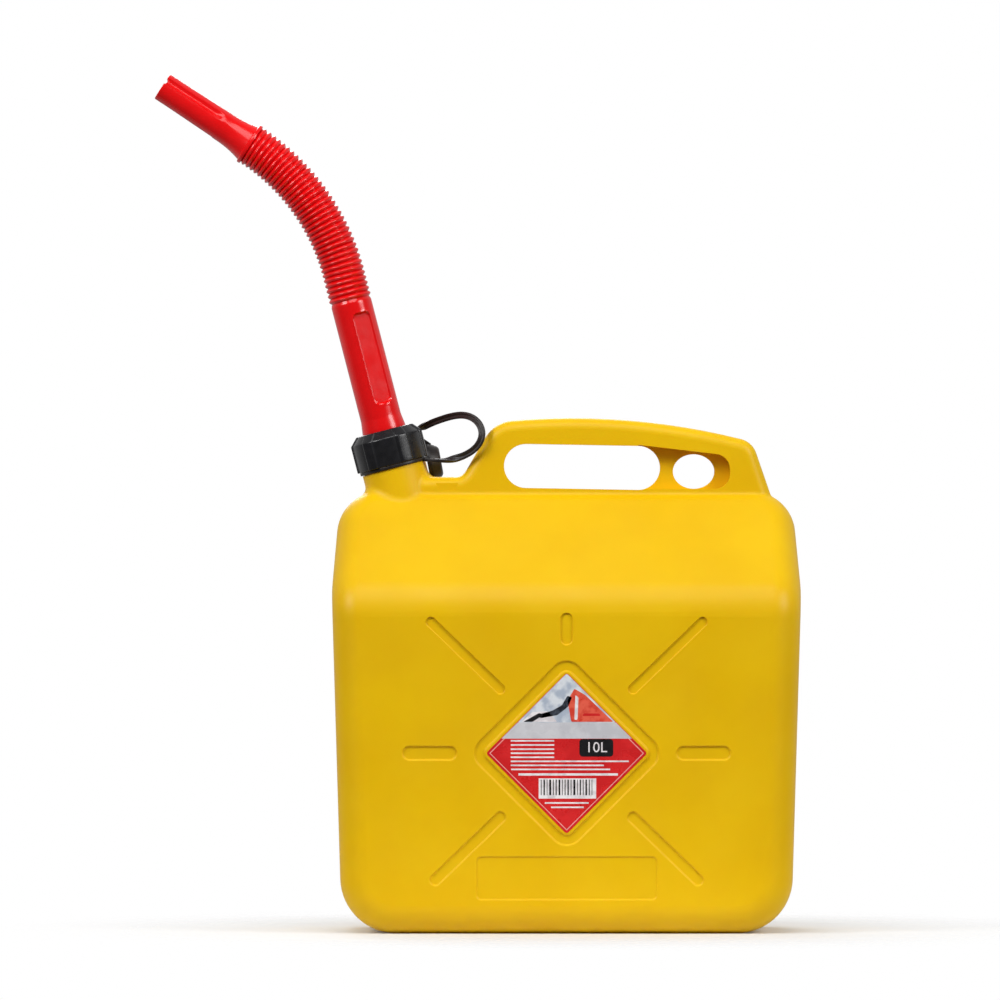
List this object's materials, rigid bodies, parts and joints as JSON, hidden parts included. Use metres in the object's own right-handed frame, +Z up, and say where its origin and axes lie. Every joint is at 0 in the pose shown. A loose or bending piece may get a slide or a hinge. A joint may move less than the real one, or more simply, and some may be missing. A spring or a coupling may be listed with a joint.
{
  "type": "jerry can",
  "caption": "Upright plastic fuel can with a moulded handle, leaning screw neck, bending pouring spout and tethered closing plug.",
  "frame": {"origin": "centre of the flat base, on the surface the can stands on", "axes": "+Z up; +X from the filler neck towards the far end of the handle; +Y towards the back, away from the label"},
  "size_m": [0.4189, 0.1553, 0.5563],
  "materials": {
    "can_plastic": "yellow blow-moulded polyethylene, faintly grained, satin",
    "spout_plastic": "red soft polyethylene, moulded glossy",
    "collar_plastic": "black polypropylene, satin gloss",
    "retainer_plastic": "brown-black soft polyethylene, satin",
    "gasket_rubber": "black nitrile rubber",
    "label_film": "printed polypropylene film with a red, grey and picture field"
  },
  "bodies": {
    "can": {"can_body": "can_plastic", "front_label": "label_film"},
    "retainer": {"retainer_ring": "retainer_plastic", "strap_near": "retainer_plastic"},
    "plug": {"strap_far": "retainer_plastic", "closing_plug": "retainer_plastic"},
    "gasket": {"spout_gasket": "gasket_rubber"},
    "collar": {"screw_collar": "collar_plastic"},
    "spout": {"spout_stem": "spout_plastic"},
    "hose_link_1": {"hose_link_1": "spout_plastic"},
    "hose_link_2": {"hose_link_2": "spout_plastic"},
    "hose_link_3": {"hose_link_3": "spout_plastic"},
    "hose_link_4": {"hose_link_4": "spout_plastic"},
    "hose_link_5": {"hose_link_5": "spout_plastic"},
    "nozzle": {"nozzle": "spout_plastic"}
  },
  "joints": [
    {"name": "retainer_turn", "type": "hinge", "parent": "can", "child": "retainer", "pos_m": [-0.1118, 0, 0.3], "axis": [-0.2504, 0, 0.9681], "range_deg": [-20, 0]},
    {"name": "strap_flex", "type": "hinge", "parent": "retainer", "child": "plug", "pos_m": [-0.0533, -0.0198, 0.3232], "axis": [0, 1, 0], "range_deg": [0, 60]},
    {"name": "spout_lift", "type": "slide", "parent": "can", "child": "gasket", "axis": [-0.2504, 0, 0.9681], "range_m": [0, 0.024]},
    {"name": "collar_turn", "type": "hinge", "parent": "gasket", "child": "collar", "pos_m": [-0.1118, 0, 0.3], "axis": [-0.2504, 0, 0.9681], "range_deg": [0, 1441]},
    {"name": "spout_swivel", "type": "hinge", "parent": "gasket", "child": "spout", "pos_m": [-0.1118, 0, 0.3], "axis": [-0.2504, 0, 0.9681], "continuous": true},
    {"name": "hose_bend_1", "type": "hinge", "parent": "spout", "child": "hose_link_1", "pos_m": [-0.14668, 0, 0.43488], "axis": [0, -1, 0], "range_deg": [-7, 8]},
    {"name": "hose_bend_2", "type": "hinge", "parent": "hose_link_1", "child": "hose_link_2", "pos_m": [-0.15312, 0, 0.4512], "axis": [0, -1, 0], "range_deg": [-7, 8]},
    {"name": "hose_bend_3", "type": "hinge", "parent": "hose_link_2", "child": "hose_link_3", "pos_m": [-0.1615, 0, 0.46661], "axis": [0, -1, 0], "range_deg": [-7, 8]},
    {"name": "hose_bend_4", "type": "hinge", "parent": "hose_link_3", "child": "hose_link_4", "pos_m": [-0.1717, 0, 0.48088], "axis": [0, -1, 0], "range_deg": [-7, 8]},
    {"name": "hose_bend_5", "type": "hinge", "parent": "hose_link_4", "child": "hose_link_5", "pos_m": [-0.18357, 0, 0.49379], "axis": [0, -1, 0], "range_deg": [-7, 8]},
    {"name": "hose_bend_6", "type": "hinge", "parent": "hose_link_5", "child": "nozzle", "pos_m": [-0.19693, 0, 0.50516], "axis": [0, -1, 0], "range_deg": [-7, 8]}
  ],
  "couplings": [
    {"joint": "collar_turn", "follows": "spout_lift", "rad_per_m": 1047.2},
    {"joint": "hose_bend_2", "follows": "hose_bend_1", "ratio": 1},
    {"joint": "hose_bend_3", "follows": "hose_bend_1", "ratio": 1},
    {"joint": "hose_bend_4", "follows": "hose_bend_1", "ratio": 1},
    {"joint": "hose_bend_5", "follows": "hose_bend_1", "ratio": 1},
    {"joint": "hose_bend_6", "follows": "hose_bend_1", "ratio": 1}
  ]
}
